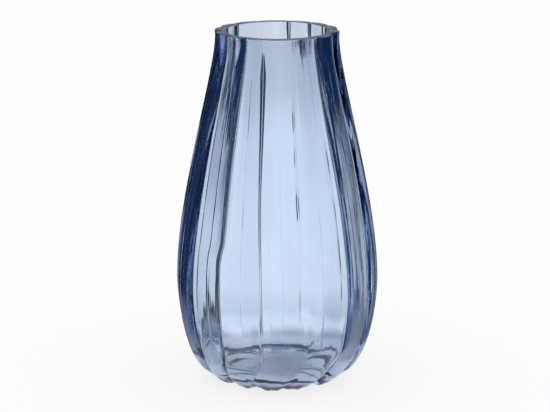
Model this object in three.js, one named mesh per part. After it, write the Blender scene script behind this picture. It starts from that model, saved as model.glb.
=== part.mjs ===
// A thick-walled glass vase: pear shaped, fluted all round, with a cut flat rim.
//
// Millimetres, +Z up. The origin is on the vase's axis, at the table it stands on.
// Angles run round the axis from -Y towards +X. The vase has no front.
//
// The real vase is one continuous piece of glass. It is given here in the zones
// that a vase maker names: neck, shoulder, belly, the heel that closes them below,
// and the foot knobs, one under each lobe, that it stands on. Neighbouring zones
// meet face to face on level planes, with nothing between them.

import * as THREE from 'three';

// ---------------------------------------------------------------- dimensions

const HEIGHT = 250;              // table to rim
const FLUTE_COUNT = 14;          // convex lobes round the body
const FIRST_GROOVE_DEG = -74.9;  // where the flutes are counted from

// Outer shape, on the crests of the lobes.
const FOOT_RADIUS = 43;
const BELLY_RADIUS = 72.7;
const BELLY_Z = 72.7;            // height of the widest place
const RIM_RADIUS = 43.9;

// Handles of the two curves that draw it: how far each runs out and up or down.
const FOOT_HANDLE_OUT = 28.9;
const FOOT_HANDLE_UP = 10.1;
const BELLY_HANDLE_DOWN = 4.1;
const BELLY_HANDLE_UP = 60.4;
const RIM_HANDLE_IN = 3.7;
const RIM_HANDLE_DOWN = 19.3;

// How far the grooves lie below the crests.
const GROOVE_AT_RIM = 4.8;
const GROOVE_AT_BELLY = 3.0;
const GROOVE_AT_HEEL = 4.2;

// Glass thickness, on the crests.
const WALL_AT_RIM = 9.6;
const WALL_AT_BELLY = 6.0;
const WALL_AT_HEEL = 7.6;

const RIM_ARRIS = 0.8;           // small polished bevel on both edges of the rim

// Levels where one zone of the wall ends and the next begins.
const HEEL_TOP_Z = 24;
const BELLY_TOP_Z = 110;
const SHOULDER_TOP_Z = 188;

// Levels and radii of the bottom.
const FLOOR_Z = 11;              // inside floor
const FLOOR_RADIUS = 42;         // flat part of the inside floor
const KNOB_TOP_Z = 5;            // underside of the heel, where the knobs start
const PUNT_RADIUS = 32;          // hollow in the middle of the underside
const PUNT_RISE = 1.5;
const PUNT_RISE_HALFWAY = 1.1;   // its rise at half its radius

// Foot knobs: domes that stand on small flats.
const KNOB_RING_RADIUS = 42.3;
const KNOB_HALF_LENGTH = 9.3;    // along the radius, at the top
const KNOB_HALF_WIDTH = 8.5;     // round the ring, at the top
const KNOB_FLAT_SHARE = 0.24;    // the flat at the table, as a share of the top

// Mesh fineness.
const SEGMENTS_PER_FLUTE = 6;
const WALL_ROW_HEIGHT = 17;      // about this much between rings
const HEEL_ROWS = 4;
const KNOB_SEGMENTS = 18;
const KNOB_ROWS = 4;
const CURVE_HALVINGS = 40;       // steps in finding a height on a curve

const LOBE_ANGLE = (2 * Math.PI) / FLUTE_COUNT;
const FIRST_GROOVE = THREE.MathUtils.degToRad(FIRST_GROOVE_DEG);

// ------------------------------------------------------------- shape of the glass

// The crest line is two curves that meet upright at the belly.
const lowerCrest = new THREE.CubicBezierCurve(
  new THREE.Vector2(FOOT_RADIUS, 0),
  new THREE.Vector2(FOOT_RADIUS + FOOT_HANDLE_OUT, FOOT_HANDLE_UP),
  new THREE.Vector2(BELLY_RADIUS, BELLY_Z - BELLY_HANDLE_DOWN),
  new THREE.Vector2(BELLY_RADIUS, BELLY_Z),
);
const upperCrest = new THREE.CubicBezierCurve(
  new THREE.Vector2(BELLY_RADIUS, BELLY_Z),
  new THREE.Vector2(BELLY_RADIUS, BELLY_Z + BELLY_HANDLE_UP),
  new THREE.Vector2(RIM_RADIUS - RIM_HANDLE_IN, HEIGHT - RIM_HANDLE_DOWN),
  new THREE.Vector2(RIM_RADIUS, HEIGHT),
);

// Radius of the crests at a height, found by halving the curve's span.
function crestRadius(z) {
  const curve = z < BELLY_Z ? lowerCrest : upperCrest;
  let low = 0;
  let high = 1;
  for (let halving = 0; halving < CURVE_HALVINGS; halving += 1) {
    const middle = (low + high) / 2;
    if (curve.getPoint(middle).y < z) {
      low = middle;
    } else {
      high = middle;
    }
  }
  return curve.getPoint(high).x;
}

// A value that changes smoothly from the heel to the belly and on to the rim.
function alongBody(z, atHeel, atBelly, atRim) {
  if (z < BELLY_Z) {
    const share = (BELLY_Z - z) / (BELLY_Z - KNOB_TOP_Z);
    return atBelly + (atHeel - atBelly) * share ** 2;
  }
  const share = (z - BELLY_Z) / (HEIGHT - BELLY_Z);
  return atBelly + (atRim - atBelly) * share ** 1.5;
}

function grooveDepth(z) {
  return alongBody(z, GROOVE_AT_HEEL, GROOVE_AT_BELLY, GROOVE_AT_RIM);
}

function innerRadius(z) {
  return crestRadius(z) - alongBody(z, WALL_AT_HEEL, WALL_AT_BELLY, WALL_AT_RIM);
}

// 1 in a groove, falling to 0 on the crest of a lobe, which is an arc.
function grooveShare(angle) {
  const turn = (angle - FIRST_GROOVE) / LOBE_ANGLE;
  const fromGroove = 2 * Math.abs(turn - Math.round(turn));
  return (1 - fromGroove) ** 2;
}

// Turns a closed profile round the axis. Each profile point says how deep the
// grooves are there, and its ring is drawn in by that much in every groove.
function flutedLathe(profile) {
  const segments = FLUTE_COUNT * SEGMENTS_PER_FLUTE;
  const outline = profile.map((point) => new THREE.Vector2(point.r, point.z));
  const geometry = new THREE.LatheGeometry(outline, segments, FIRST_GROOVE);
  const positions = geometry.attributes.position;
  for (let turn = 0; turn <= segments; turn += 1) {
    const angle = FIRST_GROOVE + ((turn % segments) / segments) * 2 * Math.PI;
    for (let row = 0; row < profile.length; row += 1) {
      const point = profile[row];
      const radius = point.r - point.groove * grooveShare(angle);
      const index = turn * profile.length + row;
      positions.setXYZ(index, radius * Math.sin(angle), point.z, radius * Math.cos(angle));
    }
  }
  geometry.rotateX(Math.PI / 2);
  geometry.computeVertexNormals();
  return geometry;
}

// Level number `row` of `rows` between two heights.
function level(from, to, row, rows) {
  return from + ((to - from) * row) / rows;
}

// ------------------------------------------------------- wall: belly, shoulder, neck

// Outline of the hollow wall between two levels, up its outside and down its inside.
// The top zone also has the cut rim: a flat face between two small bevels.
function bandGeometry(from, to) {
  const isRim = to === HEIGHT;
  const top = isRim ? HEIGHT - RIM_ARRIS : to;
  const rows = Math.round((to - from) / WALL_ROW_HEIGHT);
  const levels = [];
  for (let row = 0; row <= rows; row += 1) {
    levels.push(level(from, top, row, rows));
  }
  const outside = levels.map((z) => ({ r: crestRadius(z), z, groove: grooveDepth(z) }));
  const inside = levels.map((z) => ({ r: innerRadius(z), z, groove: 0 }));
  if (isRim) {
    const outerEdge = crestRadius(HEIGHT) - RIM_ARRIS;
    outside.push({ r: outerEdge, z: HEIGHT, groove: grooveDepth(HEIGHT) });
    inside.push({ r: innerRadius(HEIGHT) + RIM_ARRIS, z: HEIGHT, groove: 0 });
  }
  return flutedLathe([...outside, ...inside.reverse(), outside[0]]);
}

// ------------------------------------------------------------------------- heel

function heelGeometry() {
  const profile = [{ r: 0, z: KNOB_TOP_Z + PUNT_RISE, groove: 0 }];
  profile.push({ r: PUNT_RADIUS / 2, z: KNOB_TOP_Z + PUNT_RISE_HALFWAY, groove: 0 });
  profile.push({ r: PUNT_RADIUS, z: KNOB_TOP_Z, groove: 0 });
  for (let row = 0; row <= HEEL_ROWS; row += 1) {
    const z = level(KNOB_TOP_Z, HEEL_TOP_Z, row, HEEL_ROWS);
    profile.push({ r: crestRadius(z), z, groove: grooveDepth(z) });
  }
  // The inside curves down from the wall to the floor along a quarter ellipse.
  const reach = innerRadius(HEEL_TOP_Z) - FLOOR_RADIUS;
  const drop = HEEL_TOP_Z - FLOOR_Z;
  for (let row = 0; row <= HEEL_ROWS; row += 1) {
    const bend = level(0, Math.PI / 2, row, HEEL_ROWS);
    const r = FLOOR_RADIUS + reach * Math.cos(bend);
    const z = HEEL_TOP_Z - drop * Math.sin(bend);
    profile.push({ r, z, groove: 0 });
  }
  profile.push({ r: 0, z: FLOOR_Z, groove: 0 });
  return flutedLathe(profile);
}

// ------------------------------------------------------------------- foot knobs

function knobGeometry() {
  const outline = [new THREE.Vector2(0, 0)];
  for (let row = 0; row <= KNOB_ROWS; row += 1) {
    const bend = level(0, Math.PI / 2, row, KNOB_ROWS);
    const share = KNOB_FLAT_SHARE + (1 - KNOB_FLAT_SHARE) * Math.sin(bend);
    outline.push(new THREE.Vector2(share, KNOB_TOP_Z * (1 - Math.cos(bend))));
  }
  outline.push(new THREE.Vector2(0, KNOB_TOP_Z));
  const geometry = new THREE.LatheGeometry(outline, KNOB_SEGMENTS);
  geometry.rotateX(Math.PI / 2);
  geometry.scale(KNOB_HALF_WIDTH, KNOB_HALF_LENGTH, 1);
  return geometry;
}

// --------------------------------------------------------------------- assembly

const blueGlass = new THREE.MeshStandardMaterial({
  name: 'blue_glass',
  color: 0xa9bbdd,
  roughness: 0.04,
  metalness: 0,
  transparent: true,
  opacity: 0.45,
});

function piece(name, geometry) {
  const mesh = new THREE.Mesh(geometry, blueGlass.clone());
  mesh.name = name;
  return mesh;
}

const vase = new THREE.Group();
vase.name = 'fluted_vase';
vase.add(piece('neck', bandGeometry(SHOULDER_TOP_Z, HEIGHT)));
vase.add(piece('shoulder', bandGeometry(BELLY_TOP_Z, SHOULDER_TOP_Z)));
vase.add(piece('belly', bandGeometry(HEEL_TOP_Z, BELLY_TOP_Z)));
vase.add(piece('heel', heelGeometry()));

// One knob under the crest of each lobe, numbered round from the first groove.
const knobRing = new THREE.Group();
knobRing.name = 'foot_knobs';
for (let number = 1; number <= FLUTE_COUNT; number += 1) {
  const angle = FIRST_GROOVE + (number - 0.5) * LOBE_ANGLE;
  const knob = piece(`foot_knob_${String(number).padStart(2, '0')}`, knobGeometry());
  knob.position.set(
    KNOB_RING_RADIUS * Math.sin(angle),
    -KNOB_RING_RADIUS * Math.cos(angle),
    0,
  );
  knob.rotation.z = angle;
  knobRing.add(knob);
}
vase.add(knobRing);

export default vase;
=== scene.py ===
"""A thick, fluted vase of blue-grey glass on a pale floor, in soft studio light.

Sizes are in metres, in the frame's own axes: +Z up, the origin on the vase's axis at
the table. Angles round the vase run from -Y towards +X. The studio's azimuths run from
+Y towards +X, in degrees. A place round the vase may also be given in lobes, counted
from the first groove, so that whole numbers are grooves.
"""

import math

import bpy
import numpy as np
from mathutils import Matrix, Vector

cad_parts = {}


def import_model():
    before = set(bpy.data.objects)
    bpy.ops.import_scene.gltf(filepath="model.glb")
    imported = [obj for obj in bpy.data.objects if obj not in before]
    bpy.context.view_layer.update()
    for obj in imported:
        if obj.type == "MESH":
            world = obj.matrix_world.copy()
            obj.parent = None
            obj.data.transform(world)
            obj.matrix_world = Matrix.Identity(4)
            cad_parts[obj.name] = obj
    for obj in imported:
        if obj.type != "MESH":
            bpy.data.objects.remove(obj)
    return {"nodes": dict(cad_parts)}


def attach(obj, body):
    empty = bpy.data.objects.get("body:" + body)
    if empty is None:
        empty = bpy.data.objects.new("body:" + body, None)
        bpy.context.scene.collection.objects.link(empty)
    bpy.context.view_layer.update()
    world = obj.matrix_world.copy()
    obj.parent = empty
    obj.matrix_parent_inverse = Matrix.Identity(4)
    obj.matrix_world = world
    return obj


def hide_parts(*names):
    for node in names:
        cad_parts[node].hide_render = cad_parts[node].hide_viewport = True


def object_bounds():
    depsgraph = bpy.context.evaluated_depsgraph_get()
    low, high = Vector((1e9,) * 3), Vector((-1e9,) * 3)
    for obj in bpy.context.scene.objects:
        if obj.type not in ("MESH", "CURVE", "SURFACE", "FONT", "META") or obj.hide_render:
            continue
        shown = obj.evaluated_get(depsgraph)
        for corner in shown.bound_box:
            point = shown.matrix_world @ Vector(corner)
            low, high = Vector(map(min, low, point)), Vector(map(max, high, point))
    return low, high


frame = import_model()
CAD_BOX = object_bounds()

MM = 0.001
TURN = 2 * math.pi

# ---------------------------------------------------------------- driving sizes

HEIGHT = CAD_BOX[1].z
FLUTE_COUNT = sum(name.startswith("foot_knob") for name in frame["nodes"])
LOBE = TURN / FLUTE_COUNT
FRONT = math.radians(-93.2)             # the side that faces the camera
FIRST_GROOVE = FRONT - math.radians(7.4)

BELLY_RADIUS = 72.4 * MM                # the widest place, and its height
BELLY_Z = 72.7 * MM
RIM_RADIUS = 43.8 * MM
HEEL_Z = 5.5 * MM                       # where the body's curve turns into the toes
TOE_RADIUS = 42.3 * MM                  # ring on which the vase stands
PUNT_RADIUS = 31.0 * MM                 # hollow in the middle of the underside
PUNT_EDGE_Z = 3.6 * MM
PUNT_RISE = 4.6 * MM
POLE_RADIUS = 0.6 * MM                  # innermost ring, closed by a fan of triangles

WALL_AT_RIM = 8.0 * MM
WALL_AT_BELLY = 5.5 * MM
WALL_AT_FOOT = 9.5 * MM                 # as if the cavity reached down to the table
FLOOR_Z = 8.8 * MM                      # inside floor
FLOOR_DIP = 0.3 * MM                    # and how much lower it is in the middle
FLOOR_RADIUS = 41.0 * MM
CORNER_TOP_Z = 24.0 * MM                # where the wall bends into the inside floor
CORNER_IN = 1.9 * MM                    # how the bend leaves the wall
CORNER_DOWN = 6.5 * MM
CORNER_OUT = 9.5 * MM                   # and how far out it meets the floor's level
ARRIS = 0.7 * MM                        # rounded edges of the cut rim
RIM_CLEARANCE = 1.5 * ARRIS             # the side's own rows stop this far below the rim
RIM_FACE_SHARES = (0.04, 0.3, 0.5, 0.7, 0.96)   # rings across the cut face
FLUTES_END_RADIUS = PUNT_RADIUS - 9 * MM        # where they die out under the vase

# Cubic curves in (radius, height) for the crests of the lobes, from the rim downwards.
UPPER_CREST = (
    (RIM_RADIUS, HEIGHT),
    (RIM_RADIUS - 3.7 * MM, HEIGHT - 19.3 * MM),
    (BELLY_RADIUS, BELLY_Z + 60.4 * MM),
    (BELLY_RADIUS, BELLY_Z),
)
LOWER_CREST = (
    (BELLY_RADIUS, BELLY_Z),
    (BELLY_RADIUS, BELLY_Z - 4.1 * MM),
    (71.9 * MM, 10.1 * MM),
    (43.0 * MM, 0.0),
)
TOE_SLOPE = (-0.80, -0.60)              # of the body where the toes begin
TOE_HANDLE = 3.6 * MM                   # how far the toes follow it
TOE_OUTSIDE = 3.4 * MM                  # and how far out they turn level
TOE_INSIDE = (
    (TOE_RADIUS, 0.0),
    (TOE_RADIUS - 4.2 * MM, 0.0),
    (PUNT_RADIUS + 3.5 * MM, 2.6 * MM),
    (PUNT_RADIUS, PUNT_EDGE_Z),
)
PUNT = (
    (PUNT_RADIUS, PUNT_EDGE_Z),
    (PUNT_RADIUS * 0.7, PUNT_RISE),
    (PUNT_RADIUS * 0.3, PUNT_RISE),
    (POLE_RADIUS, PUNT_RISE),
)
INSIDE_FLOOR = (
    (FLOOR_RADIUS, FLOOR_Z),
    (FLOOR_RADIUS * 0.7, FLOOR_Z),
    (FLOOR_RADIUS * 0.3, FLOOR_Z - FLOOR_DIP),
    (POLE_RADIUS, FLOOR_Z - FLOOR_DIP),
)

# Mesh fineness, in steps along each curve.
UPPER_STEPS = 64
LOWER_STEPS = 44
TOE_STEPS = 12
POLE_STEPS = 8
INSIDE_ROWS = 44
CORNER_STEPS = 16
ARRIS_STEPS = 6
CREST_SAMPLES = 400
COLUMNS_PER_LOBE = 27
GATHERING = 0.135                       # draws the columns together at the grooves

# ------------------------------------------------------------------- hand work

# The arcs of the lobes dip this much between their crests.
ARC_DIP = 2.0 * MM
ARC_DIP_AT_FOOT = 1.2 * MM              # and this much more towards the foot
ARC_SOFTNESS = 0.06                     # rounding of the grooves, as a share of half a lobe
ARC_UNEVENNESS = 0.08

# The grooves as the maker left them, counted the way the angles run. Each row says
# how far the groove strays from an even spacing at the belly and at the rim, in lobes; how
# full the arcs beside it are; and its crease's half width in mm at the heights below.
GROOVE_HEIGHTS = (90 * MM, 150 * MM, 225 * MM, 245 * MM)
GROOVES = (
    (-0.07, -0.22, 0.60, 0.9, 1.1, 2.0, 0.3),
    (0.00, 0.00, 0.45, 0.4, 0.4, 0.4, 0.4),
    (0.12, -0.05, 1.10, 2.5, 2.8, 3.4, 3.9),
    (-0.06, 0.03, 1.10, 2.4, 2.8, 3.4, 3.9),
    (0.02, 0.02, 1.00, 2.0, 2.4, 2.8, 3.4),
    (-0.04, -0.04, 0.70, 0.6, 0.6, 0.7, 2.2),
    (-0.12, -0.12, 0.50, 0.4, 0.4, 0.4, 1.5),
    (-0.19, -0.19, 0.50, 0.5, 0.5, 0.5, 1.5),
    (-0.10, -0.10, 0.50, 0.4, 0.4, 0.4, 0.6),
    (0.12, 0.12, 0.60, 0.4, 0.4, 0.5, 1.6),
    (0.05, 0.05, 0.80, 0.6, 0.8, 1.4, 2.6),
    (-0.04, -0.04, 1.05, 2.2, 2.6, 3.2, 3.8),
    (0.00, 0.00, 1.15, 2.2, 2.8, 3.6, 4.2),
    (-0.05, -0.10, 1.10, 1.4, 2.0, 3.5, 4.2),
)
STRAY_FROM_Z = 85 * MM                  # the grooves drift sideways between these heights
STRAY_TO_Z = 245 * MM
CREASE_SLOPE = 0.85                     # depth against half width
CREASE_ROUNDING = 0.2 * MM              # at its bottom
CREASE_EDGE_SOFTNESS = 0.15             # at its two edges, as a share of its depth
CREASE_FULL_WIDTH = 1.2 * MM            # narrower creases are flatter too
CREASE_EASE = 0.4                       # share of the slope lost at the foot
CREASE_EASE_Z = (45 * MM, 20 * MM)

# All flutes sway together: size in lobes, waves round the vase, radians up it and start.
SWAYS = ((0.010, 2, 5.5, 1.0), (0.006, 4, -15, 0.0))
TWIST = -0.30                           # lobes by which the toes are turned
TWIST_UNEVENNESS = 0.6
TWIST_Z = (30 * MM, 2 * MM)
KINK = 0.05                             # lobes by which one groove jumps sideways
KINK_PLACE = 13                         # which groove
KINK_Z = 106 * MM
KINK_LENGTH = 6 * MM
KINK_REACH = 0.25                       # radians round the vase

# Fine lines that ran down the glass: place in lobes, half width, depth, and the heights
# between which they lie.
LINES = (
    (11.55, 0.7 * MM, 0.45 * MM, 30 * MM, 235 * MM),
    (12.35, 0.7 * MM, 0.45 * MM, 50 * MM, 225 * MM),
    (12.70, 0.7 * MM, 0.45 * MM, 30 * MM, 238 * MM),
    (13.58, 0.7 * MM, 0.30 * MM, 40 * MM, 235 * MM),
    (0.20, 0.7 * MM, 0.26 * MM, 40 * MM, 215 * MM),
    (0.45, 0.6 * MM, 0.22 * MM, 30 * MM, 200 * MM),
    (1.28, 0.6 * MM, 0.26 * MM, 30 * MM, 150 * MM),
    (0.82, 1.3 * MM, 0.95 * MM, 112 * MM, 214 * MM),
    (0.79, 0.7 * MM, 0.50 * MM, 42 * MM, 110 * MM),
    (1.70, 0.8 * MM, 0.50 * MM, 55 * MM, 190 * MM),
    (2.36, 0.7 * MM, 0.45 * MM, 30 * MM, 238 * MM),
    (2.70, 0.7 * MM, 0.40 * MM, 45 * MM, 238 * MM),
    (3.42, 0.7 * MM, 0.45 * MM, 30 * MM, 235 * MM),
)
LINE_END = 25 * MM                      # over which a line fades out
LINE_EVENNESS = 0.65                    # its average depth, as a share of its full depth
LINE_WAVES = (7 * MM, 17 * MM)          # height per radian of the waves in its depth
LINE_COLUMNS = (-1.25, -1.0, -0.5, 0.0, 0.5, 1.0, 1.25)     # across it, in half widths
LINE_MARGIN = 1.5                       # half widths kept clear of other columns

DENT_DEPTH = 1.1 * MM                   # of the uneven dents round the toes
DENT_Z = (10 * MM, 3 * MM)              # between which they set in
DENT_WAVES = (2.6 * MM, 4.2 * MM)       # height per radian of their waves

NECK_FLATTENING = 1.3 * MM              # the neck is slightly oval, narrower front to back
NECK_Z = (140 * MM, 215 * MM)
BODY_WAVE = 0.25 * MM                   # the body is slightly out of round
BODY_WAVE_FOOT_Z = (6 * MM, 40 * MM)
BODY_WAVE_RIM = 20 * MM                 # it dies out over this much below the rim
LEAN_Z = (60 * MM, 20 * MM)             # below, the grooves are cut square to the slope

INSIDE_TRACE = 0.4 * MM                 # of the flutes on the inside
INSIDE_TRACE_RIM = 30 * MM
INSIDE_STREAK = 0.012 * MM
FLOOR_SWELL = 0.25 * MM
FLOOR_EDGE_Z = FLOOR_Z + 1 * MM         # from here to the corner's top, floor turns into wall


# ------------------------------------------------------------------ small helpers

def bezier(points, steps, skip_first=True):
    """Points along a cubic curve in (radius, height), as an array of two columns."""
    a, b, c, d = (np.array(point, float) for point in points)
    t = np.linspace(0, 1, steps + 1)[1 if skip_first else 0:, None]
    return (1 - t) ** 3 * a + 3 * (1 - t) ** 2 * t * b + 3 * (1 - t) * t ** 2 * c + t ** 3 * d


def smooth(low, high, x):
    """0 at low and before, 1 at high and beyond, and a smooth step between."""
    t = np.clip((x - low) / (high - low), 0, 1)
    return t * t * (3 - 2 * t)


def round_angle(u):
    """A place in lobes as an angle from the first groove, if the flutes were even."""
    return TURN * u / FLUTE_COUNT


# -------------------------------------------------------------------- profiles

def crest_radius(z):
    upper = bezier(UPPER_CREST, CREST_SAMPLES, skip_first=False)
    lower = bezier(LOWER_CREST, CREST_SAMPLES, skip_first=False)
    line = np.vstack([upper, lower[1:]])[::-1]
    return np.interp(z, line[:, 1], line[:, 0])


def wall(z):
    """Glass thickness on the crests."""
    up = np.clip((z - BELLY_Z) / (HEIGHT - BELLY_Z), 0, 1) ** 1.5
    down = np.clip((BELLY_Z - z) / BELLY_Z, 0, 1) ** 3
    to_rim = (WALL_AT_RIM - WALL_AT_BELLY) * up
    to_foot = (WALL_AT_FOOT - WALL_AT_BELLY) * down
    return WALL_AT_BELLY + to_rim + to_foot


def outer_profile():
    """The crests' outline from the rim, down to the toes and in to the punt's middle."""
    top = [(crest_radius(HEIGHT - ARRIS), HEIGHT - ARRIS)]
    upper = bezier(UPPER_CREST, UPPER_STEPS, skip_first=False)
    upper = upper[upper[:, 1] < HEIGHT - RIM_CLEARANCE]
    lower = bezier(LOWER_CREST, LOWER_STEPS)
    lower = lower[lower[:, 1] > HEEL_Z]
    heel = lower[-1]
    under_heel = heel + TOE_HANDLE * np.array(TOE_SLOPE)
    toe_points = (heel, under_heel, (TOE_RADIUS + TOE_OUTSIDE, 0), (TOE_RADIUS, 0))
    toe = bezier(toe_points, TOE_STEPS)
    toe_inside = bezier(TOE_INSIDE, TOE_STEPS)
    punt = bezier(PUNT, POLE_STEPS)
    return np.vstack([top, upper, lower, toe, toe_inside, punt])


def inner_profile():
    """The cavity's outline from the rim down to the middle of its floor."""
    z = np.linspace(HEIGHT - ARRIS, CORNER_TOP_Z, INSIDE_ROWS)
    side = np.column_stack([crest_radius(z) - wall(z), z])
    radius, height = side[-1]
    corner_points = (
        (radius, height),
        (radius - CORNER_IN, height - CORNER_DOWN),
        (FLOOR_RADIUS + CORNER_OUT, FLOOR_Z),
        (FLOOR_RADIUS, FLOOR_Z),
    )
    corner = bezier(corner_points, CORNER_STEPS)
    floor_line = bezier(INSIDE_FLOOR, POLE_STEPS)
    return np.vstack([side, corner, floor_line])


# ---------------------------------------------------------------------- flutes

def lobe_columns():
    """Places round the vase, in lobes, denser near the grooves and the fine lines."""
    t = np.arange(COLUMNS_PER_LOBE) / COLUMNS_PER_LOBE
    within = t - GATHERING * np.sin(TURN * t)
    columns = (np.arange(FLUTE_COUNT)[:, None] + within[None, :]).ravel()
    for line in LINES:
        place, half_width = line[:2]
        reach = half_width / (LOBE * BELLY_RADIUS)
        columns = columns[np.abs(columns - place) > LINE_MARGIN * reach]
        columns = np.append(columns, place + reach * np.array(LINE_COLUMNS))
    return np.sort(columns)


def by_groove(u, values):
    """For each point, the row of values that belongs to its nearest groove."""
    index = np.round(u).astype(int) % FLUTE_COUNT
    index = np.broadcast_to(index, (len(values), index.shape[-1]))
    return np.take_along_axis(values, index, axis=1)


def lobe_share(u):
    """0 on a crest and 1 in a groove: each lobe is a shallow arc."""
    d = 2 * np.abs(u - np.round(u))
    rise = np.sqrt(d * d + ARC_SOFTNESS ** 2) - ARC_SOFTNESS
    f = rise / (math.sqrt(1 + ARC_SOFTNESS ** 2) - ARC_SOFTNESS)
    return (1 - f) ** 2


def lobe_depth(u, z):
    """How far the arcs of two lobes dip between their crests."""
    a = round_angle(u)
    down = np.clip((BELLY_Z - z) / BELLY_Z, 0, 1) ** 2
    fullness = np.array([groove[2] for groove in GROOVES])[None, :] + 0 * z
    uneven = 1 + ARC_UNEVENNESS * np.sin(2.0 * a + 1.3) * np.sin(6 * z / HEIGHT + 3 * a)
    return (ARC_DIP + ARC_DIP_AT_FOOT * down) * by_groove(u, fullness) * uneven


def crease(u, z, radius):
    """The crease along each groove, on top of the arcs: straight flanks, rounded bottom."""
    distance = np.hypot(np.abs(u - np.round(u)) * LOBE * radius, CREASE_ROUNDING)
    half_widths = [np.interp(z, GROOVE_HEIGHTS, groove[3:]) for groove in GROOVES]
    width = by_groove(u, np.hstack(half_widths) * MM)
    ease = 1 - CREASE_EASE * smooth(*CREASE_EASE_Z, z)
    slope = CREASE_SLOPE * smooth(0, CREASE_FULL_WIDTH, width) * ease
    rise = 1 - distance / width
    return slope * width * (rise + np.sqrt(rise ** 2 + CREASE_EDGE_SOFTNESS ** 2)) / 2


def lines(u, z):
    """The fine lines' depth: each a shallow V that varies and fades out at both ends."""
    depth = 0 * (u + z)
    for place, half_width, cut, low, high in LINES:
        away = np.abs(u - place) * LOBE * BELLY_RADIUS / half_width
        ends = smooth(low, low + LINE_END, z) * smooth(high, high - LINE_END, z)
        fine = np.sin(z / LINE_WAVES[0] + 5 * place)
        coarse = np.sin(z / LINE_WAVES[1] + 3 * place)
        uneven = LINE_EVENNESS + (1 - LINE_EVENNESS) * fine * coarse
        depth = depth + cut * ends * uneven * np.clip(1 - away, 0, 1)
    return depth


def dents(u, z):
    """Uneven dents round the toes, pressed in while the glass was soft."""
    a = round_angle(u)
    across = np.sin(17 * a + 1.7 * np.sin(3 * a) + z / DENT_WAVES[0])
    along = np.sin(19 * a - 1.3 * np.sin(5 * a) - z / DENT_WAVES[1])
    return DENT_DEPTH * smooth(*DENT_Z, z) * (1 + across * along) / 2


def wander(u, z):
    """How far, in lobes, the flutes stray from an even spacing, by hand work."""
    a = round_angle(u)
    h = z / HEIGHT
    up = np.clip((z - STRAY_FROM_Z) / (STRAY_TO_Z - STRAY_FROM_Z), 0, 1)
    low, high = ([groove[end] for groove in GROOVES] for end in (0, 1))
    low = np.interp(u, np.arange(FLUTE_COUNT + 1), low + low[:1])
    high = np.interp(u, np.arange(FLUTE_COUNT + 1), high + high[:1])
    stray = low + (high - low) * up
    for size, round_waves, up_waves, start in SWAYS:
        stray = stray + size * np.sin(round_waves * a + up_waves * h + start)
    twist = TWIST * smooth(*TWIST_Z, z) * (1 + TWIST_UNEVENNESS * np.sin(2 * a + 0.5))
    near = np.exp(-((a - round_angle(KINK_PLACE)) / KINK_REACH) ** 2)
    kink = KINK * np.tanh((z - KINK_Z) / KINK_LENGTH) * near
    return stray + twist + kink


def angle_of(u, z):
    return FIRST_GROOVE + LOBE * (u + wander(u, z))


def outer_rings(profile, columns):
    """Cuts flutes, creases, lines and dents into the crest outline, square to its slope."""
    r, z = profile[:, 0:1], profile[:, 1:2]
    run = np.gradient(profile[:, 0])[:, None]
    rise = np.gradient(profile[:, 1])[:, None]
    length = np.hypot(run, rise)
    normal_r = -rise / length
    normal_z = run / length * smooth(*LEAN_Z, z)

    u = columns[None, :]
    a = round_angle(u)
    angle = angle_of(u, z)
    cut = lobe_depth(u, z) * lobe_share(u) + crease(u, z, r) + lines(u, z) + dents(u, z)
    is_under = (z < HEEL_Z) & (r < TOE_RADIUS)
    cut = cut * np.where(is_under, smooth(FLUTES_END_RADIUS, TOE_RADIUS, r), 1)

    wave = BODY_WAVE * (np.sin(2 * a + 4 * z / HEIGHT) - 1) * smooth(*BODY_WAVE_FOOT_Z, z)
    wave = wave * smooth(HEIGHT, HEIGHT - BODY_WAVE_RIM, z)
    flat = NECK_FLATTENING * np.cos(angle - FRONT) ** 2 * smooth(*NECK_Z, z)
    radius = r - cut * normal_r + wave - flat
    height = z - cut * normal_z
    return radius, height, angle


def inner_rings(profile, columns):
    """The cavity's surface: nearly round, with a trace of the flutes and drawn streaks."""
    r, z = profile[:, 0:1], profile[:, 1:2]
    u = columns[None, :]
    a = round_angle(u)
    on_side = smooth(FLOOR_EDGE_Z, CORNER_TOP_Z, z)
    trace = INSIDE_TRACE * lobe_share(u) * smooth(HEIGHT, HEIGHT - INSIDE_TRACE_RIM, z)
    fine = np.sin(61 * a + 2.0 * np.sin(5 * z / HEIGHT))
    coarse = 0.7 * np.sin(43 * a + 3.1 * z / HEIGHT)
    streaks = INSIDE_STREAK * (fine + coarse) * (1 + np.sin(5 * a + 6 * z / HEIGHT))
    radius = r + (streaks - trace) * on_side
    swell = FLOOR_SWELL * np.sin(3 * a + 1.0) * (r / FLOOR_RADIUS) ** 2 * (1 - on_side)
    return radius, z + swell, angle_of(u, z)


def rim_rings(outer, inner):
    """Rounded outer arris, flat cut face and rounded inner arris, as (radius, height)."""
    bends = np.linspace(0.0, math.pi / 2, ARRIS_STEPS)
    rows = []
    for bend in bends[1:]:
        radius = outer - ARRIS * (1 - np.cos(bend))
        rows.append((radius, HEIGHT - ARRIS * (1 - math.sin(bend))))
    start, end = outer - ARRIS, inner + ARRIS
    for share in RIM_FACE_SHARES:
        rows.append((start + (end - start) * share, HEIGHT))
    for bend in bends[:0:-1]:
        radius = inner + ARRIS * (1 - np.cos(bend))
        rows.append((radius, HEIGHT - ARRIS * (1 - math.sin(bend))))
    return rows


# ------------------------------------------------------------------------ mesh

def vase_rings():
    """Every ring of the closed skin as (radius, height, angle), from punt to inside floor."""
    columns = lobe_columns()
    outside = list(zip(*outer_rings(outer_profile(), columns)))
    inside = list(zip(*inner_rings(inner_profile(), columns)))
    rings = outside[::-1]
    top_angle = outside[0][2]
    for radius, height in rim_rings(outside[0][0], inside[0][0]):
        rings.append((radius, np.full_like(columns, height), top_angle))
    return rings + inside


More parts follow.
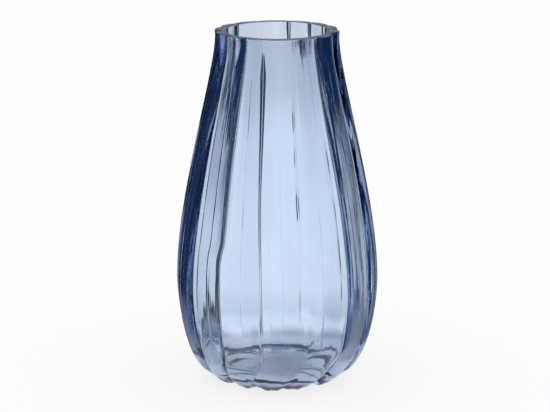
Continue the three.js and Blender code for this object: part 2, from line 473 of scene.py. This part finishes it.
def vase_mesh():
    """One closed skin: punt, toes, flutes, rim, cavity and floor."""
    rings = vase_rings()
    columns = len(rings[0][0])
    vertices = []
    for radius, height, angle in rings:
        x = radius * np.sin(angle)
        y = -radius * np.cos(angle)
        vertices.extend(np.column_stack([x, y, height]).tolist())
    bottom_pole = len(vertices)
    vertices.append([0.0, 0.0, float(rings[0][1].mean())])
    vertices.append([0.0, 0.0, float(rings[-1][1].mean())])
    top_pole = bottom_pole + 1

    faces = []
    for row in range(len(rings) - 1):
        low = row * columns
        high = low + columns
        for column in range(columns):
            after = (column + 1) % columns
            faces.append((low + column, low + after, high + after, high + column))
    last = (len(rings) - 1) * columns
    for column in range(columns):
        after = (column + 1) % columns
        faces.append((after, column, bottom_pole))
        faces.append((last + column, last + after, top_pole))

    mesh = bpy.data.meshes.new("vase_glass")
    mesh.from_pydata(vertices, [], faces)
    mesh.polygons.foreach_set("use_smooth", [True] * len(mesh.polygons))
    mesh.validate()
    mesh.update()
    return mesh


# ----------------------------------------------------------------- node helpers

def new_material(name):
    material = bpy.data.materials.new(name)
    material.use_nodes = True
    return material, material.node_tree


def calculate(tree, operation, *values):
    """A math node on numbers or sockets."""
    node = tree.nodes.new("ShaderNodeMath")
    node.operation = operation
    for socket, value in zip(node.inputs, values):
        if isinstance(value, (int, float)):
            socket.default_value = value
        else:
            tree.links.new(value, socket)
    return node.outputs[0]


def rgb(light):
    """A colour from a colour or from a plain amount of white light."""
    return light if isinstance(light, tuple) else (light, light, light)


def ramp(tree, factor, stops):
    """A colour ramp with stops (position, light) in rising order."""
    node = tree.nodes.new("ShaderNodeValToRGB")
    elements = node.color_ramp.elements
    elements.remove(elements[1])
    elements[0].position = 0
    elements[0].color = (*rgb(stops[0][1]), 1)
    for position, light in stops:
        elements.new(position).color = (*rgb(light), 1)
    tree.links.new(factor, node.inputs["Fac"])
    return node.outputs["Color"]


MIX_COLOURS = (6, 7)                    # a mix node's colour inputs and output
MIX_RESULT = 2


def mix(tree, factor, first, second):
    """The first colour where the factor is 0 and the second where it is 1."""
    node = tree.nodes.new("ShaderNodeMix")
    node.data_type = "RGBA"
    tree.links.new(factor, node.inputs["Factor"])
    for index, colour in zip(MIX_COLOURS, (first, second)):
        socket = node.inputs[index]
        if isinstance(colour, tuple):
            socket.default_value = (*colour, 1)
        else:
            tree.links.new(colour, socket)
    return node.outputs[MIX_RESULT]


# ----------------------------------------------------------------------- glass

GLASS_IOR = 1.50
GLASS_TINT = (0.143, 0.386, 0.714)      # what the glass lets through
GLASS_DENSITY = 61.0                    # absorption per metre

STREAK_DEPTH = 0.025 * MM               # fine upright streaks in the glass's skin
STREAKS_PER_RADIAN = 60
STREAK_LENGTH = 45 * MM


def drawn_skin(tree):
    """A bump of fine upright streaks, as drawn glass has."""
    position = tree.nodes.new("ShaderNodeTexCoord").outputs["Object"]
    parts = tree.nodes.new("ShaderNodeSeparateXYZ")
    tree.links.new(position, parts.inputs[0])
    x, y, z = parts.outputs
    y_squared = calculate(tree, "MULTIPLY", y, y)
    radius = calculate(tree, "SQRT", calculate(tree, "MULTIPLY_ADD", x, x, y_squared))
    around = tree.nodes.new("ShaderNodeCombineXYZ")
    for socket, value in zip(around.inputs, (x, y)):
        share = calculate(tree, "DIVIDE", value, radius)
        tree.links.new(calculate(tree, "MULTIPLY", share, STREAKS_PER_RADIAN), socket)
    tree.links.new(calculate(tree, "DIVIDE", z, STREAK_LENGTH), around.inputs["Z"])
    streaks = tree.nodes.new("ShaderNodeTexNoise")
    streaks.inputs["Scale"].default_value = 1.0
    streaks.inputs["Detail"].default_value = 2.0
    tree.links.new(around.outputs[0], streaks.inputs["Vector"])

    relief = tree.nodes.new("ShaderNodeBump")
    relief.inputs["Strength"].default_value = 1.0
    relief.inputs["Distance"].default_value = 1.0
    height = calculate(tree, "MULTIPLY", streaks.outputs[0], STREAK_DEPTH)
    tree.links.new(height, relief.inputs["Height"])
    return relief.outputs["Normal"]


def glass_material():
    """Clear glass, tinted in the mass, with a fire-polished skin."""
    material, tree = new_material("blue_glass")
    shader = tree.nodes["Principled BSDF"]
    shader.inputs["Base Color"].default_value = (1.0, 1.0, 1.0, 1.0)
    shader.inputs["Transmission Weight"].default_value = 1.0
    shader.inputs["IOR"].default_value = GLASS_IOR
    shader.inputs["Roughness"].default_value = 0.0
    tree.links.new(drawn_skin(tree), shader.inputs["Normal"])
    tint = tree.nodes.new("ShaderNodeVolumeAbsorption")
    tint.inputs["Color"].default_value = (*GLASS_TINT, 1.0)
    tint.inputs["Density"].default_value = GLASS_DENSITY
    tree.links.new(tint.outputs["Volume"], tree.nodes["Material Output"].inputs["Volume"])
    return material


def vase():
    piece = bpy.data.objects.new("vase_glass", vase_mesh())
    bpy.context.scene.collection.objects.link(piece)
    piece.data.materials.append(glass_material())
    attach(piece, "root")
    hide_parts(*frame["nodes"])


# ---------------------------------------------------------------------- studio

CAMERA_DISTANCE = 1.5
CAMERA_ELEVATION = math.radians(14.3)
CAMERA_AIM = (-1.35 * MM, 123.8 * MM)   # to the right of the axis, and up
LENS_MM = 138.5
VIEW_END = 50                           # the farthest that the camera sees

# White panels stand round the vase, with dark gaps between them: azimuth, half width and
# the width of the soft edge.
PANELS = ((-90, 11, 4), (-45, 9, 4), (0, 8, 4), (93.2, 16, 3), (135, 8, 4))
PANEL_FALLOFF = 0.82                    # light at a panel's edge, against its middle
GAP = (0.012, 0.032, 0.085)

# The panels' light by elevation, and the elevations between which the table, the ceiling
# and its middle take over.
BACKDROP = 1.27
BACKDROP_TOP = 0.92
ABOVE = (0.40, 0.43, 0.53)
PANEL_LEVELS = (
    (-90, BACKDROP),
    (-13.5, BACKDROP),
    (-11, BACKDROP_TOP),
    (2, BACKDROP_TOP),
    (8, ABOVE),
    (90, ABOVE),
)
TABLE_EDGE = (-24, -17)
CEILING_EDGE = (12, 22)
ZENITH_EDGE = (50, 66)
TABLE = (0.32, 0.34, 0.38)
LIT_TABLE = (0.74, 0.77, 0.82)          # where a side lamp lights it
LAMP = (-45, 22, 16)                    # azimuth, half width and soft edge of its light
CEILING = (0.68, 0.70, 0.76)
ZENITH = (1.40, 1.42, 1.45)

# How much of the studio the glass's outer skin mirrors, by the mirrored ray's elevation.
MIRRORED = (
    (-90, 2.0),
    (-42, 2.0),
    (-28, 0.2),
    (3, 0.2),
    (8, 1.0),
    (18, 1.0),
    (26, 0.2),
    (90, 0.2),
)
MIRROR_SCALE = 2                        # a ramp holds the values above divided by this

PALE_FLOOR_RADIUS = 15.0
PALE_FLOOR_COLOUR = (0.2, 0.2, 0.2, 1)
PALE_FLOOR_ROUGHNESS = 0.9
PALE_FLOOR_GLOW = 0.8
DISC_SIDES = 96

# Light of the glowing disc under the vase, by distance from the vase's axis: a painted
# shadow, greyest under the vase where its shade falls, lighter outwards.
PAINTED_SHADOW_DISC_LIGHT = (
    (0, 0.36),
    (20 * MM, 0.40),
    (38 * MM, 0.72),
    (50 * MM, 0.78),
    (100 * MM, 0.70),
)
PAINTED_SHADOW_DISC_FADE = (60 * MM, 98 * MM)         # radii between which it fades out
PAINTED_SHADOW_DISC_RADIUS = 145 * MM
PAINTED_SHADOW_DISC_Z = -0.5 * MM

GLASS_BOUNCES = 24                      # light crosses many surfaces in the flutes
MIRROR_BOUNCES = 12


def camera():
    data = bpy.data.cameras.new("camera")
    data.lens = LENS_MM
    data.clip_end = VIEW_END
    eye = bpy.data.objects.new("camera", data)
    bpy.context.scene.collection.objects.link(eye)
    level = math.cos(CAMERA_ELEVATION)
    rise = math.sin(CAMERA_ELEVATION)
    back = Vector((math.sin(FRONT) * level, -math.cos(FRONT) * level, rise))
    right = Vector((math.cos(FRONT), math.sin(FRONT), 0))
    target = right * CAMERA_AIM[0] + Vector((0, 0, CAMERA_AIM[1]))
    eye.location = target + back * CAMERA_DISTANCE
    eye.rotation_euler = (-back).to_track_quat("-Z", "Y").to_euler()
    bpy.context.scene.camera = eye


def flat_disc(name, radius, z):
    """A level disc, linked straight into the scene."""
    turns = [TURN * side / DISC_SIDES for side in range(DISC_SIDES)]
    corners = [(radius * math.cos(turn), radius * math.sin(turn), z) for turn in turns]
    mesh = bpy.data.meshes.new(name)
    mesh.from_pydata(corners, [], [range(DISC_SIDES)])
    disc = bpy.data.objects.new(name, mesh)
    bpy.context.scene.collection.objects.link(disc)
    return disc


def floor():
    """The pale floor, seen directly but not through or in the glass."""
    plane = flat_disc("floor", PALE_FLOOR_RADIUS, 0.0)
    material, tree = new_material("floor")
    shader = tree.nodes["Principled BSDF"]
    shader.inputs["Base Color"].default_value = PALE_FLOOR_COLOUR
    shader.inputs["Roughness"].default_value = PALE_FLOOR_ROUGHNESS
    shader.inputs["Specular IOR Level"].default_value = 0.0
    shader.inputs["Emission Color"].default_value = (1, 1, 1, 1)
    shader.inputs["Emission Strength"].default_value = PALE_FLOOR_GLOW
    plane.data.materials.append(material)
    plane.visible_transmission = False
    plane.visible_glossy = False


def painted_shadow_disc_light(tree, distance):
    """The glowing disc's painted light and shadow at a distance from the axis, as a smooth
    curve.
    """
    shade = tree.nodes.new("ShaderNodeFloatCurve")
    outermost = PAINTED_SHADOW_DISC_LIGHT[-1][0]
    points = shade.mapping.curves[0].points
    for reach, light in PAINTED_SHADOW_DISC_LIGHT[1:-1]:
        points.new(reach / outermost, light)
    points[0].location = (0, PAINTED_SHADOW_DISC_LIGHT[0][1])
    points[-1].location = (1, PAINTED_SHADOW_DISC_LIGHT[-1][1])
    shade.mapping.use_clip = False
    shade.mapping.update()
    tree.links.new(calculate(tree, "DIVIDE", distance, outermost), shade.inputs["Value"])
    return shade.outputs[0]


def painted_shadow_disc():
    """A glowing, soft-edged disc under the vase with a painted shadow, grey in its middle,
    seen only through and in its glass.
    """
    disc = flat_disc("painted_shadow_disc", PAINTED_SHADOW_DISC_RADIUS, PAINTED_SHADOW_DISC_Z)
    material, tree = new_material("painted_shadow_disc")
    nodes, links = tree.nodes, tree.links
    reach = nodes.new("ShaderNodeVectorMath")
    reach.operation = "LENGTH"
    links.new(nodes.new("ShaderNodeTexCoord").outputs["Object"], reach.inputs[0])
    distance = reach.outputs["Value"]
    edge = nodes.new("ShaderNodeMapRange")
    edge.interpolation_type = "SMOOTHSTEP"
    edge.inputs["From Min"].default_value = PAINTED_SHADOW_DISC_FADE[0]
    edge.inputs["From Max"].default_value = PAINTED_SHADOW_DISC_FADE[1]
    links.new(distance, edge.inputs["Value"])
    # painted shadow: the disc glows, though it is no lamp, grey under the vase and lighter
    # outwards
    light = nodes.new("ShaderNodeEmission")
    light.inputs["Color"].default_value = (1, 1, 1, 1)
    links.new(painted_shadow_disc_light(tree, distance), light.inputs["Strength"])
    clear = nodes.new("ShaderNodeBsdfTransparent")
    blend = nodes.new("ShaderNodeMixShader")
    links.new(edge.outputs["Result"], blend.inputs[0])
    links.new(light.outputs["Emission"], blend.inputs[1])
    links.new(clear.outputs[0], blend.inputs[2])
    links.new(blend.outputs[0], nodes["Material Output"].inputs["Surface"])
    disc.data.materials.append(material)
    disc.visible_camera = False
    disc.visible_diffuse = False
    disc.visible_shadow = False


def panel_stops():
    """Azimuths and light of the panels and of the gaps between them."""
    stops = []
    for centre, half, edge in PANELS:
        stops.append((centre, 1))
        for side in (-1, 1):
            stops.append((centre + side * (half - edge / 2), PANEL_FALLOFF))
            stops.append((centre + side * (half + edge / 2), 0))
    return sorted(stops)


def lamp_stops():
    """Azimuths and light of the table, round the side lamp's pool of light."""
    centre, half, edge = LAMP
    return (
        (centre - half - edge / 2, TABLE),
        (centre - half + edge / 2, LIT_TABLE),
        (centre + half - edge / 2, LIT_TABLE),
        (centre + half + edge / 2, TABLE),
    )


def studio_light(tree):
    """The studio that the glass sees. Gives its light and how much of it a mirror shows."""
    parts = tree.nodes.new("ShaderNodeSeparateXYZ")
    tree.links.new(tree.nodes.new("ShaderNodeTexCoord").outputs["Generated"], parts.inputs[0])
    azimuth = calculate(tree, "ARCTAN2", parts.outputs["X"], parts.outputs["Y"])
    elevation = calculate(tree, "ARCSINE", parts.outputs["Z"])
    turn = calculate(tree, "MULTIPLY_ADD", azimuth, 1 / TURN, 0.5)
    rise = calculate(tree, "MULTIPLY_ADD", elevation, 1 / math.pi, 0.5)

    def by_azimuth(stops):
        return ramp(tree, turn, [(angle / 360 + 0.5, light) for angle, light in stops])

    def by_elevation(stops):
        return ramp(tree, rise, [(angle / 180 + 0.5, light) for angle, light in stops])

    light = mix(tree, by_azimuth(panel_stops()), GAP, by_elevation(PANEL_LEVELS))
    below = by_elevation(zip(TABLE_EDGE, (1, 0)))
    light = mix(tree, below, light, by_azimuth(lamp_stops()))
    for edge, colour in ((CEILING_EDGE, CEILING), (ZENITH_EDGE, ZENITH)):
        light = mix(tree, by_elevation(zip(edge, (0, 1))), light, colour)
    mirror = by_elevation((angle, share / MIRROR_SCALE) for angle, share in MIRRORED)
    return light, calculate(tree, "MULTIPLY", mirror, MIRROR_SCALE)


def world():
    """Plain white to the camera; to the glass, white panels with dark gaps between them."""
    studio = bpy.data.worlds.new("studio")
    studio.use_nodes = True
    bpy.context.scene.world = studio
    tree = studio.node_tree
    nodes, links = tree.nodes, tree.links
    light, mirrored = studio_light(tree)

    # A ray that the outer skin mirrors has been through no glass yet.
    ray = nodes.new("ShaderNodeLightPath").outputs
    outside = calculate(tree, "LESS_THAN", ray["Transmission Depth"], 1)
    skin = calculate(tree, "MULTIPLY", outside, ray["Is Reflection Ray"])
    gain = calculate(tree, "SUBTRACT", mirrored, 1)
    around = nodes["Background"]
    links.new(light, around.inputs["Color"])
    links.new(calculate(tree, "MULTIPLY_ADD", skin, gain, 1), around.inputs["Strength"])

    plain = nodes.new("ShaderNodeBackground")
    plain.inputs["Color"].default_value = (1.0, 1.0, 1.0, 1)
    open_air = calculate(tree, "MAXIMUM", ray["Is Camera Ray"], ray["Is Diffuse Ray"])
    choose = nodes.new("ShaderNodeMixShader")
    links.new(open_air, choose.inputs[0])
    links.new(around.outputs[0], choose.inputs[1])
    links.new(plain.outputs[0], choose.inputs[2])
    links.new(choose.outputs[0], nodes["World Output"].inputs["Surface"])


def picture():
    """Plain colours, and enough bounces for light to cross all the glass."""
    scene = bpy.context.scene
    scene.view_settings.view_transform = "Standard"
    scene.cycles.max_bounces = GLASS_BOUNCES
    scene.cycles.transmission_bounces = GLASS_BOUNCES
    scene.cycles.glossy_bounces = MIRROR_BOUNCES


vase()
floor()
# a glowing disc with a painted shadow under the vase, seen only through and in the glass
painted_shadow_disc()
camera()
world()
picture()
